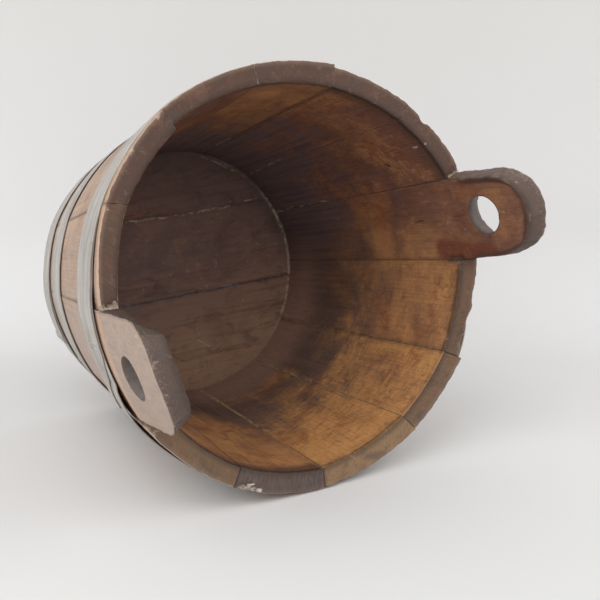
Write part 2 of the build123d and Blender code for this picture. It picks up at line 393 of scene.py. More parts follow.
CHIPS = [
    Chip(229.5, -1, 1.0, 4.0, 2.6),
    Chip(231.8, 0, 0.5, 4.0, 2.2),
    Chip(234.2, -1, 0.5, 3.5, 2.0),
    Chip(197.0, 0, 0.5, 4.0, 1.8, 0.7),
    Chip(199.6, -1, 0.0, 4.0, 2.0, 0.6),
    Chip(166.2, 0, 3.0, 3.5, 1.2),
    Chip(166.0, 0, 8.0, 3.5, 1.0),
    Chip(165.6, 0, 12.5, 3.5, 1.4),
    Chip(10.9, 0, 1.0, 3.5, 1.5),
    Chip(11.0, 1, 5.0, 3.5, 1.0, 0.8),
    Chip(10.8, 0, 10.0, 4.0, 1.3, 0.9),
    Chip(112.0, 0, 1.5, 2.6, 0.8, 0.7),
    Chip(123.9, 0, 1.2, 3.6, 0.8, 0.7),
    Chip(126.5, 0, 0.5, 2.6, 0.6, 0.4),
    Chip(140.8, 0, 2.0, 2.6, 0.7, 0.6),
    Chip(29.4, 0, 0.5, 5.0, 2.2, 0.1),
    Chip(49.2, 0, 3.5, 2.2, 0.5, 0.35),
    Chip(24.4, 0, 13.0, 1.6, 0.5, 0.8),
    Chip(217.0, 0, 3.0, 4.0, 0.5, 0.2),
    Chip(281.0, 0, 13.5, 3.0, 0.7, 0.4),
    Chip(268.0, -1, 14.5, 4.5, 0.8, 0.3),
    Chip(320.0, -2, 14.5, 6.0, 1.0, 0.25),
    Chip(326.0, 0, 0.0, 9.0, 1.8, 0.15),
    Chip(334.0, 0, 0.0, 11.0, 0.9, 0.2),
    Chip(320.0, 0, 1.0, 8.0, 1.4, 0.2),
    Chip(300.0, -1, 14.5, 5.0, 0.8, 0.2),
    Chip(344.7, -1, 14.0, 5.0, 1.5, 0.2),
    Chip(-2.8, -6, 14.5, 2.0, 0.4, 0.5),
    Chip(-5.1, 12, 14.5, 1.8, 0.4, 0.6),
    Chip(-0.5, 57, 14.5, 2.0, 0.5, 0.8),
    Chip(-4.0, 54, 14.5, 1.3, 0.4, 0.6),
    Chip(171.0, 70, 1.0, 5.0, 0.8, 0.7),
    Chip(176.5, 80, 2.0, 5.0, 0.8, 0.6),
    Chip(183.0, 80, 1.0, 5.0, 0.9, 0.5),
    Chip(168.0, 60, 6.0, 6.0, 1.0, 0.6),
]


def break_chips(bm, stave, chip_layer, loose):
    """Sinks the chips that fall on a stave and marks their fresh wood. Joints stay closed."""
    bm.normal_update()
    for chip in CHIPS:
        turn = math.remainder(math.radians(chip.azimuth) - stave.middle, math.tau)
        if abs(turn) * RIM_RADIUS > stave.half_width + chip.radius:
            continue
        centre = on_tub(stave, turn * RIM_RADIUS, chip.depth, TUB_HEIGHT + chip.above)
        for v in bm.verts:
            away = (v.co - centre).length / chip.radius
            ragged = away * (1 + 0.7 * noise.noise(v.co / 1.7))
            if ragged < 1:
                v[chip_layer] = max(v[chip_layer], chip.pale * smooth_step(1.0, 0.55, ragged))
                along = Vector((-v.co.y, v.co.x, 0)).normalized()
                push = v.normal - along * v.normal.dot(along) * (1 - v[loose])
                v.co -= push * chip.bite * (1 - ragged ** 2)


def snap(places, middle, reach):
    """The places with the nearest ones moved to a reach on each side of a middle."""
    places = list(places)
    for target in (middle - reach, middle + reach):
        nearest = min(range(1, len(places) - 1), key=lambda i: abs(places[i] - target))
        places[nearest] = target
    return places


def draw_ring(bm, edges, old, new, radius, share=1.0):
    """Grows an open edge loop about one centre part or all of the way to a circle about the next."""
    made = bmesh.ops.extrude_edge_only(bm, edges=edges)["geom"]
    for v in made:
        if isinstance(v, bmesh.types.BMVert):
            v.co = v.co.lerp(new + (v.co - old).normalized() * radius, share)
    ring = [e for e in made if isinstance(e, bmesh.types.BMEdge) and e.is_boundary]
    return ring, old.lerp(new, share)


def hole_radius(depth, lug):
    """Radius of an ear's hole, worn wider at both of its ends."""
    radius = lug.hole_radius
    for flare, near in zip(lug.flares, (depth, STAVE_THICKNESS - depth)):
        worn = max(0.0, 1 - near / (1.8 * flare))
        radius += flare * (1 - math.sqrt(1 - worn ** 2))
    return radius


def bore_lug(bm, stave):
    """Opens a round hole through a lug, inside a square of its faces."""
    inner_end = stave.hole(STAVE_THICKNESS)

    def in_patch(face):
        middle = face.calc_center_median()
        reach = max(abs(middle.x - inner_end.x), abs(middle.z - inner_end.z))
        return abs(face.normal.y) > 0.5 and reach < HOLE_PATCH

    def grow(ring, centre, depth, share=1.0):
        return draw_ring(bm, ring, centre, stave.hole(depth), hole_radius(depth, stave.lug), share)

    bm.normal_update()
    bmesh.ops.delete(bm, geom=[f for f in bm.faces if in_patch(f)], context="FACES")
    gaps = [e for e in bm.edges if e.is_boundary]
    rings = []
    for depth in (0.0, STAVE_THICKNESS):
        ring = [e for e in gaps if abs(e.verts[0].co.y - depth) < 0.1]
        centre = Vector((inner_end.x, depth, inner_end.z))
        for share in (0.35, 0.6, 1.0):
            ring, centre = grow(ring, centre, depth, share)
        rings.append(ring)
    outer, inner = rings
    centre = stave.hole(0.0)
    for depth in stations(0, STAVE_THICKNESS, 0.35, 2.0)[1:]:
        outer, centre = grow(outer, centre, depth)
    seam = dict.fromkeys(v for e in outer + inner for v in e.verts)
    bmesh.ops.remove_doubles(bm, verts=list(seam), dist=0.02)


def cut_stave(stave):
    """A stave's uncut block, with its faces divided finely at its edges, its croze and its rim."""
    sides = stations(-stave.half_width, stave.half_width, 0.25, 2.2)
    depths = stations(0, STAVE_THICKNESS, 0.4, 1.9)
    foot = stations(0, CROZE_BOTTOM - CROZE_EDGE, 0.5, 8.0)
    wall = stations(CROZE_TOP + CROZE_EDGE, stave.top, 0.3, 4.0 if stave.lug else 5.0)
    rim = stations(TUB_HEIGHT - FINE_BAND - 2, stave.top, 0.3, 2.0)
    heights = foot + [CROZE_BOTTOM, CROZE_TOP, CROZE_TOP + CROZE_EDGE]
    heights += [h for h in wall if CROZE_TOP + 4 < h < TUB_HEIGHT - FINE_BAND]
    heights += [h for h in rim if h > TUB_HEIGHT - FINE_BAND]
    if not stave.lug:
        return cut_block(sides, depths, heights)
    hole = stave.hole(STAVE_THICKNESS)
    bm = cut_block(snap(sides, hole.x, HOLE_PATCH), depths, snap(heights, hole.z, HOLE_PATCH))
    bore_lug(bm, stave)
    return bm


def stave_values(stave, point):
    """What a point of a stave's block says to the wear and to the material."""
    side, depth, height = point
    joint = side > 0
    loose = smooth_step(0.0, 1.6, stave.half_width - abs(side))
    edge = edge_wear("stave", edge_distance(point, stave.low, stave.high))
    on_bore = False
    if stave.lug:
        hole = stave.hole(depth)
        from_hole = math.hypot(side - hole.x, height - hole.z) - stave.lug.hole_radius
        on_bore = from_hole < max(stave.lug.flares) and ON_FACE < depth < STAVE_THICKNESS - ON_FACE
        loose = max(loose, smooth_step(TUB_HEIGHT + 2, TUB_HEIGHT + 8, height))
        edge = 0.0 if from_hole < HOLE_RIM else max(edge, edge_wear("stave", from_hole - 1.5))
    heart = Vector((stave.pith[0], stave.pith[1], PATTERN_SHIFT * stave.tone))
    return {
        "board": (point + heart) * MM,
        "joints": Vector((side + stave.half_width, stave.half_width - side, depth)) * MM,
        "inside": float(depth > STAVE_THICKNESS - ON_FACE),
        "outside": float(depth < ON_FACE),
        "bore": float(on_bore),
        "edge": edge,
        "loose": loose,
        "chip": 0.0,
        "tone": stave.tone,
        "figure": stave.figure,
        "ends": stave.ends,
        "lines": stave.lines[joint],
        "crumbs": stave.crumbs[joint],
        "open": stave.open[joint],
        # the band under the rim: partly stain, partly painted shade
        "lip_stain_and_shade": stave.lip_stain_and_shade * smooth_step(TUB_HEIGHT - LIP_DEPTH, TUB_HEIGHT, height),
    }


def shape_stave(stave, point):
    """Point of the finished stave for a point of its block: worn edges, croze, chime and lug."""
    side, depth, height = point
    waver = noise.noise(point / 9.0 + Vector(stave.pith + (0,)))
    ease = RIM_EASE * (1 + 0.6 * waver * smooth_step(0, 8, stave.half_width - abs(side)))
    joint_ease = mix(*JOINT_EASE, stave.open[side > 0])
    if stave.lug and height > TUB_HEIGHT + 2:
        joint_ease = ease
    if not stave.lug and depth < STAVE_THICKNESS / 2 and height > TUB_HEIGHT / 2:
        ease *= stave.worn / RIM_EASE
    side, depth, height = ease_edges(point, stave.low, stave.high, (joint_ease, ease, ease))
    if depth > STAVE_THICKNESS / 2:
        if CROZE_BOTTOM - 0.05 <= height <= CROZE_TOP + 0.05:
            depth -= CROZE_DEPTH
        depth -= max(0.0, CHIME_HEIGHT - height)
    if stave.lug:
        side, height = shape_lug(side, depth, height, stave.half_width, stave.lug)
    return on_tub(stave, side, depth, height)


def make_stave(stave, material):
    """One stave, with its croze, its worn edges and, on an ear stave, its bored lug."""
    bm = cut_stave(stave)
    layers = mark_vertices(bm, lambda point: stave_values(stave, point))
    for v in bm.verts:
        v.co = shape_stave(stave, v.co)
    roughen(bm, layers["edge"], layers["loose"])
    break_chips(bm, stave, layers["chip"], layers["loose"])
    finish_mesh(bm, stave.name.replace("stave", "stave_wood"), stave.name, material)


# ---- Head ----------------------------------------------------------------------

HEAD_GRAIN_AZIMUTH = -11.3
FRONT_SEAM, REAR_SEAM = -19.5, 51.0
SEAM_EASES = {FRONT_SEAM: 0.3, REAR_SEAM: 0.12}
HEAD_GAP = 0.02             # half the gap between two boards
HEAD_PLAY = 0.3             # gap between the head and the staves, clear of the croze
HEAD_REACH = 105.0          # half the head's width, for the outer boards' middles
TONGUE_BOTTOM, TONGUE_TOP = 30.0, 39.0
TONGUE_EASE = 0.2           # planed off each of its faces
HEAD_CUP, HEAD_CUP_SPAN = 0.5, 35.0     # drop of a board's face, and how far from its middle
HEAD_BOARDS = {             # seams on a board's two sides, and lift of its face
    "front": (None, FRONT_SEAM, -0.5),
    "middle": (FRONT_SEAM, REAR_SEAM, 0.4),
    "rear": (REAR_SEAM, None, -0.2),
}


def head_profile():
    """Half section of the head's edge, (radius, height) from the middle of its underside."""
    def inner_at(height):
        return outer_at(height) - STAVE_THICKNESS - HEAD_PLAY
    low, high = TONGUE_BOTTOM + TONGUE_EASE, TONGUE_TOP - TONGUE_EASE
    low_radius, high_radius = inner_at(TONGUE_BOTTOM), inner_at(TONGUE_TOP)
    return [
        (0, HEAD_BOTTOM), (inner_at(HEAD_BOTTOM), HEAD_BOTTOM), (low_radius, low),
        (low_radius + CROZE_DEPTH, low), (high_radius + CROZE_DEPTH, high), (high_radius, high),
        (inner_at(HEAD_TOP), HEAD_TOP), (0, HEAD_TOP),
    ]


def make_head_board(name, material):
    """One board of the head, cut from the turned disc between two seams."""
    low, high, step = HEAD_BOARDS[name]
    bm = bmesh.new()
    verts = [bm.verts.new((r, 0, z)) for r, z in head_profile()]
    edges = [bm.edges.new(pair) for pair in zip(verts, verts[1:])]
    flats = [e for e in edges if min(v.co.x for v in e.verts) < 1]
    bmesh.ops.subdivide_edges(bm, edges=flats, cuts=24)
    bmesh.ops.spin(bm, geom=bm.verts[:] + bm.edges[:], axis=(0, 0, 1), cent=(0, 0, 0),
                   steps=120, angle=math.tau, use_merge=True)
    bmesh.ops.remove_doubles(bm, verts=bm.verts, dist=0.01)
    for seam, away in ((low, -1), (high, 1)):
        if seam is None:
            continue
        cut = bmesh.ops.bisect_plane(
            bm, geom=bm.verts[:] + bm.edges[:] + bm.faces[:], plane_co=(0, seam - away * HEAD_GAP, 0),
            plane_no=(0, away, 0), clear_outer=True)
        rim = [e for e in cut["geom_cut"] if isinstance(e, bmesh.types.BMEdge)]
        bmesh.ops.contextual_create(bm, geom=rim)
        bmesh.ops.bevel(bm, geom=[e for e in rim if e.is_valid], offset=SEAM_EASES[seam], segments=3,
                        profile=0.5, affect="EDGES", material=-1)
    middle = ((low or -HEAD_REACH) + (high or HEAD_REACH)) / 2

    def values_at(point):
        near = min(abs(point.y - seam) for seam in (low, high) if seam is not None)
        along_board = Vector((point.y - middle + 150 * step, point.z + 60, point.x + 400 * step))
        return {"board": along_board * MM, "edge": edge_wear("head", near)}

    mark_vertices(bm, values_at)
    for v in bm.verts:
        if v.co.z > HEAD_TOP - 1:
            cup = HEAD_CUP * ((v.co.y - middle) / HEAD_CUP_SPAN) ** 2
            v.co.z += step - cup + 0.3 * noise.noise(v.co / 30)
    turn = Matrix.Rotation(math.radians(HEAD_GRAIN_AZIMUTH), 3, "Z")
    bmesh.ops.rotate(bm, verts=bm.verts, matrix=turn)
    finish_mesh(bm, f"head_{name}_board", f"head_board_{name}", material)


# ---- Hoops and rivets ----------------------------------------------------------

@dataclass
class Hoop:
    """A hoop: where its strip starts under the lap and ends over it."""
    name: str
    lap_start: float
    lap_end: float
    taper: tuple                # how far the end is cut back: its length, below and above
    gape: float = 0.6           # how far the rim side edge stands off the staves
    tilt: float = 0.0           # how far out of level it sits


HOOP_LOW = 190.0            # azimuth at which a tilted hoop is lowest
HOOP_BEND = 0.02            # how closely a hoop follows a step between two staves
HOOP_SPAN = 10              # degrees on each side that a hoop feels
HOOP_CLIMB = 20             # degrees in which the strip climbs onto its own start
HOOP_START = 0.15           # share of its thickness with which the strip starts
HOOP_EASE = 0.45            # rounding of the strip's edges
RIVET_INSET = 5.0           # a rivet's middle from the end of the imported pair
RIVET_SIZE = (1.6, 4.8, 4.8)    # half its height, and its radii
RIVET_STANDS = 0.3          # its middle above the lap
RIVET_WEAR, RIVET_DENTS = 0.35, 0.35
HOOPS = [
    Hoop("top", 138, 196, (44.0, 0.26, 0.62), 0.0, 3.4),
    Hoop("middle", 9, 51, (6.0, 0.1, 0.1), 0.5),
    Hoop("bottom", 155, 189, (8.0, 0.15, 0.2), 0.5),
]


def stave_shell(azimuth):
    """How far a facet lies inside the round shell, as a factor, and how proud its stave is."""
    for stave in STAVES:
        turn = math.remainder(azimuth - stave.middle, math.tau)
        if abs(turn) <= stave.half_arc + 1e-6:
            share = turn / stave.half_arc
            flat = mix(1.0, math.cos(stave.half_arc) / math.cos(turn), FLATNESS * 0.75)
            return flat, mix(*stave.proud, (share + 1) / 2)
    return 1.0, 0.0


SHELL = [stave_shell(math.radians(degree)) for degree in range(360)]


def hoop_seat(azimuth, height):
    """Radius at which a hoop bears on the staves: it bridges the low places beside the proud ones."""
    even, share, degrees = outer_at(height), rim_share(height), math.degrees(azimuth)
    radii = []
    for near in range(round(degrees) - HOOP_SPAN, round(degrees) + HOOP_SPAN + 1):
        flat, proud = SHELL[near % 360]
        radii.append(even * flat + proud * share - HOOP_BEND * (degrees - near) ** 2)
    return max(radii)


def make_hoop(hoop, material):
    """Hoop bent from one strip whose end lies over its start."""
    bottom, top, _ = BANDS[hoop.name]
    width = top - bottom
    start = math.radians(hoop.lap_start)
    length = (math.tau + math.radians(hoop.lap_end - hoop.lap_start)) * RIM_RADIUS
    climb = math.radians(HOOP_CLIMB)
    depths = [0, 0.3, 0.65, HOOP_THICKNESS]
    bm = cut_block(stations(0, length, 0.4, 4.0), depths, stations(0, width, 0.4, 3.2))
    low, high = Vector((0, 0, 0)), Vector((length, HOOP_THICKNESS, width))

    def values_at(point):
        return {"board": point * MM, "edge": edge_wear("hoop", edge_distance(point, low, high))}

    mark_vertices(bm, values_at)
    for v in bm.verts:
        along, out, up = ease_edges(v.co, low, high, [HOOP_EASE] * 3)
        reach, below, above = hoop.taper
        left = max(0.0, 1 - (length - along) / reach)
        up = mix(up, width * mix(below, 1 - above, up / width), left ** 0.8)
        turn = along / RIM_RADIUS
        azimuth = start + turn
        out *= mix(HOOP_START, 1.0, smooth_step(0, climb, turn))
        layer = HOOP_THICKNESS * smooth_step(math.tau - math.radians(2), math.tau + climb, turn)
        waver = 0.15 * noise.noise(Vector((along / 45, up / 30, 3)))
        stand = max(0.12 + hoop.gape * (up / width) ** 2 + waver, 0.1)
        radius = hoop_seat(azimuth, bottom + up) + stand + layer + out
        level = -hoop.tilt * math.cos(azimuth - math.radians(HOOP_LOW))
        v.co = around_axis(azimuth, radius, bottom + up + level)
    finish_mesh(bm, f"iron_hoop_{hoop.name}", f"hoop_{hoop.name}", material)


def make_rivets(hoop, material):
    """The hammered rivets of one hoop's lap."""
    node = f"hoop_{hoop.name}_rivets"
    low, high = box_mm(node)
    azimuth = math.atan2((low.y + high.y) / 2, (low.x + high.x) / 2)
    turn = Matrix.Rotation(azimuth, 4, "Z") @ Matrix.Rotation(math.atan(TAPER), 4, "Y")
    bm = bmesh.new()
    for height in (low.z + RIVET_INSET, high.z - RIVET_INSET):
        made = bmesh.ops.create_uvsphere(bm, u_segments=20, v_segments=12, radius=1)
        radius = hoop_seat(azimuth, height) + RIVET_STANDS + 2 * HOOP_THICKNESS
        seat = Matrix.Translation(around_axis(azimuth, radius, height))
        bmesh.ops.transform(bm, verts=made["verts"],
                            matrix=seat @ turn @ Matrix.Diagonal(RIVET_SIZE + (1,)))
    mark_vertices(bm, lambda point: {"board": point * MM, "edge": RIVET_WEAR})
    for v in bm.verts:
        v.co += noise.noise_vector(v.co / 3.0) * RIVET_DENTS
    finish_mesh(bm, f"iron_rivets_{hoop.name}", node, material)


# ---- Materials -----------------------------------------------------------------
# Places and reaches in a material are in metres. g is the graph that is being filled.

VECTOR_SOCKETS = ("Vector", "Board", "Start", "End")


def tint(code):
    """Linear colour from a six-figure sRGB code."""
    parts = [int(code[i:i + 2], 16) / 255 for i in (0, 2, 4)]
    return tuple(c / 12.92 if c < 0.04045 else ((c + 0.055) / 1.055) ** 2.4 for c in parts) + (1.0,)


class Graph:
    """Short ways to add nodes to a material or a group. A colour may be a six-figure sRGB code."""

    def __init__(self, tree):
        self.tree = tree

    def feed(self, value, node, socket):
        """Links a value to a node's socket, or sets it there."""
        if isinstance(value, bpy.types.NodeSocket):
            self.tree.links.new(value, node.inputs[socket])
        else:
            node.inputs[socket].default_value = value

    def node(self, kind, inputs=None, **settings):
        """New node with its settings made and its sockets fed."""
        made = self.tree.nodes.new("ShaderNode" + kind)
        for name, value in settings.items():
            setattr(made, name, value)
        for socket, value in (inputs or {}).items():
            self.feed(value, made, socket)
        return made

    def use(self, group, inputs):
        """Outputs of a group placed in this graph."""
        return self.node("Group", inputs, node_tree=group).outputs

    def math(self, operation, a, b=0.0, clamp=False):
        return self.node("Math", {0: a, 1: b}, operation=operation, use_clamp=clamp).outputs[0]

    def plus(self, total, *others):
        for value in others:
            total = self.math("ADD", total, value)
        return total

    def minus(self, a, b):
        return self.math("SUBTRACT", a, b)

    def times(self, product, *others):
        for value in others:
            product = self.math("MULTIPLY", product, value)
        return product

    def sway(self, value, reach):
        """A noise as a swing about 0, over a reach in all."""
        return self.times(self.minus(value, 0.5), reach)

    def sum_of(self, values):
        """The values added up and held under 1."""
        total = values[0]
        for value in values[1:]:
            total = self.math("ADD", total, value, clamp=True)
        return total

    def span(self, value, low, high, to_low=0.0, to_high=1.0):
        """The value's place between low and high, smooth and held within the two results."""
        return self.node("MapRange", {"Value": value, "From Min": low, "From Max": high,
                                      "To Min": to_low, "To Max": to_high},
                         interpolation_type="SMOOTHSTEP").outputs["Result"]

    def vector(self, operation, *values):
        """Vector arithmetic: a number for a length or a dot product, and a vector for the rest."""
        output = "Value" if operation in ("LENGTH", "DOT_PRODUCT") else "Vector"
        return self.node("VectorMath", dict(enumerate(values)), operation=operation).outputs[output]

    def scaled(self, vector, factor):
        return self.node("VectorMath", {0: vector, "Scale": factor}, operation="SCALE").outputs[0]

    def stretch(self, vector, scale):
        return self.node("Mapping", {"Vector": vector, "Scale": scale}).outputs[0]

    def noise(self, vector, scale, detail=4.0, roughness=0.55, distortion=0.0):
        """Noise of one scale, or of three scales along the axes."""
        if isinstance(scale, tuple):
            vector, scale = self.stretch(vector, scale), 1.0
        return self.node("TexNoise", {"Vector": vector, "Scale": scale, "Detail": detail,
                                      "Roughness": roughness, "Distortion": distortion}).outputs[0]

    def attribute(self, name, output="Fac"):
        return self.node("Attribute", attribute_name=name).outputs[output]

    def xyz(self, vector):
        return self.node("SeparateXYZ", {0: vector}).outputs

    def blend(self, share, a, b):
        """Colour between a and b."""
        a, b = [tint(c) if isinstance(c, str) else c for c in (a, b)]
        return self.node("Mix", {0: share, 6: a, 7: b}, data_type="RGBA").outputs[2]

    def coats(self, colour, coats):
        """The colour under coats that are each a mask and a colour."""
        for mask, coat in coats:
            colour = self.blend(mask, colour, coat)
        return colour

    def bump(self, height, strength, distance):
        """Normal from a height. The distance is in metres."""
        inputs = {"Height": height, "Strength": strength, "Distance": distance}
        return self.node("Bump", inputs).outputs[0]

    def strands(self, vector, lines):
        """Mask of several thin lines, each from its start to its end and as wide as it says."""
        return self.sum_of([
            self.use(STRAND, {"Vector": vector, "Start": a, "End": b, "Width": width * MM})["Line"]
            for a, b, width in lines])


def new_group(name, inputs, outputs):
    """Empty shader group with named sockets: its graph, its input node's sockets and its output node."""
    tree = bpy.data.node_groups.new(name, "ShaderNodeTree")
    for in_out, labels in (("INPUT", inputs), ("OUTPUT", outputs)):
        for label in labels:
            kind = "NodeSocketVector" if label in VECTOR_SOCKETS else "NodeSocketFloat"
            tree.interface.new_socket(label, in_out=in_out, socket_type=kind)
    return Graph(tree), tree.nodes.new("NodeGroupInput").outputs, tree.nodes.new("NodeGroupOutput")


def make_grain_group():
    """Growth rings and pores of a board from its own coordinates."""
    g, given, result = new_group("board_grain", ["Board", "Ring Width", "Waviness"], ["Rings", "Pores"])
    board = given["Board"]
    wander = g.times(g.minus(g.noise(board, (9, 9, 1.6), 2.0), 0.5), given["Waviness"])
    distance = g.plus(g.vector("LENGTH", g.stretch(board, (1, 1, 0))), wander)
    uneven = g.noise(board, (60, 60, 2.0), 3.0)
    phase = g.plus(g.math("DIVIDE", distance, given["Ring Width"]), g.times(uneven, 1.6))
    saw = g.math("FRACT", phase)
    g.feed(g.times(g.math("POWER", saw, 2.5), g.span(saw, 1.0, 0.88)), result, "Rings")
    pores = g.noise(board, (1500, 1500, 60), 2.0, 0.5)
    g.feed(g.span(pores, 0.60, 0.72), result, "Pores")
    return g.tree


def make_grime_group():
    """Broken patches of dirt and damp, and small specks of dust."""
    g, given, result = new_group("grime", ["Vector", "Scale", "Cover"], ["Patches", "Specks"])
    broad = g.noise(given["Vector"], given["Scale"], 6.0, 0.62, 0.6)
    edge = g.minus(1.0, given["Cover"])
    g.feed(g.span(g.minus(broad, edge), -0.12, 0.12), result, "Patches")
    small = g.noise(given["Vector"], g.times(given["Scale"], 9.0), 3.0, 0.6)
    g.feed(g.span(small, 0.64, 0.72), result, "Specks")
    return g.tree


def make_waver_group():
    """A place shifted a little to and fro, for lines that aren't drawn with a rule."""
    g, given, result = new_group("waver", ["Vector", "Scale", "Reach"], ["Vector"])
    place = given["Vector"]
    turbulence = g.node("TexNoise", {"Vector": place, "Scale": given["Scale"], "Detail": 3.0}).outputs[1]
    centred = g.vector("SUBTRACT", turbulence, (0.5, 0.5, 0.5))
    g.feed(g.vector("ADD", place, g.scaled(centred, given["Reach"])), result, "Vector")
    return g.tree


def make_strand_group():
    """One thin line between two places: a scratch, a crack, a strand of cobweb or a streak of painted
    shade.
    """
    g, given, result = new_group("strand", ["Vector", "Start", "End", "Width"], ["Line"])
    along = g.vector("SUBTRACT", given["End"], given["Start"])
    away = g.vector("SUBTRACT", given["Vector"], given["Start"])
    share = g.math("DIVIDE", g.vector("DOT_PRODUCT", away, along),
                   g.vector("DOT_PRODUCT", along, along), clamp=True)
    distance = g.vector("LENGTH", g.vector("SUBTRACT", away, g.scaled(along, share)))
    g.feed(g.span(g.math("DIVIDE", distance, given["Width"]), 1.0, 0.4), result, "Line")
    return g.tree


GRAIN = make_grain_group()
GRIME = make_grime_group()
WAVER = make_waver_group()
STRAND = make_strand_group()


def new_material(name):
    """Material with a Principled shader: its graph, the shader and the finished material."""
    material = bpy.data.materials.new(name)
    material.use_nodes = True
    graph = Graph(material.node_tree)
    return graph, material.node_tree.nodes["Principled BSDF"], material


def inner_place(azimuth, height):
    """A place on the inner face of the shell, in metres from degrees and millimetres."""
    return around_axis(math.radians(azimuth), outer_at(height) - STAVE_THICKNESS, height) * MM


def outer_place(azimuth, height):
    """A place on the outer face of the shell, in metres from degrees and millimetres."""
    return around_axis(math.radians(azimuth), outer_at(height), height) * MM


def rim_place(azimuth, radius):
    """A place on the rim's end grain, in metres from degrees and millimetres."""
    turn = math.radians(azimuth)
    return around_axis(turn, radius, TUB_HEIGHT + rim_warp(turn)) * MM


def head_place(x, y):
    """A place on the head's upper face, in metres from millimetres."""
    return Vector((x, y, HEAD_TOP)) * MM


def stave_patterns(g):
    """The places, wear and noises that all the faces of a stave share."""
    wood = SimpleNamespace(board=g.attribute("board", "Vector"))
    for name in ("inside", "outside", "edge", "tone", "chip"):
        setattr(wood, name, g.attribute(name))
    wood.place = g.node("TexCoord").outputs["Object"]
    wood.x, wood.y, wood.height = g.xyz(wood.place)
    to_start, to_end, wood.depth = g.xyz(g.attribute("joints", "Vector"))
    wood.joint = g.math("MINIMUM", to_start, to_end)
    wood.grain = g.use(GRAIN, {"Board": wood.board, "Ring Width": 0.0030, "Waviness": 0.014})
    wood.grime = g.use(GRIME, {"Vector": wood.place, "Scale": 26.0, "Cover": 0.40})
    wood.broad = g.noise(wood.board, (55, 55, 4), 4.0, 0.6)
    wood.streak = g.noise(wood.board, (190, 190, 9), 5.0, 0.65)
    wood.fine = g.noise(wood.board, (460, 460, 80), 5.0, 0.7, 0.8)
    wood.cloud = g.noise(wood.place, 17.0, 6.0, 0.62, 0.5)
    wood.mottle = g.noise(wood.place, 190.0, 4.0, 0.65)
    wood.soft_joint = g.plus(wood.joint, g.sway(wood.streak, 0.007))
    wood.wavered = g.use(WAVER, {"Vector": wood.place, "Scale": 60.0, "Reach": 0.006})["Vector"]
    wood.cracks = g.strands(wood.wavered, [
        (inner_place(-0.5, 190), inner_place(-2.0, 228), 0.7),
        (inner_place(21.0, 210), inner_place(20.4, 213), 1.7),
        (inner_place(-15.2, 246), inner_place(-15.2, 258), 4.5),
    ])
    return wood


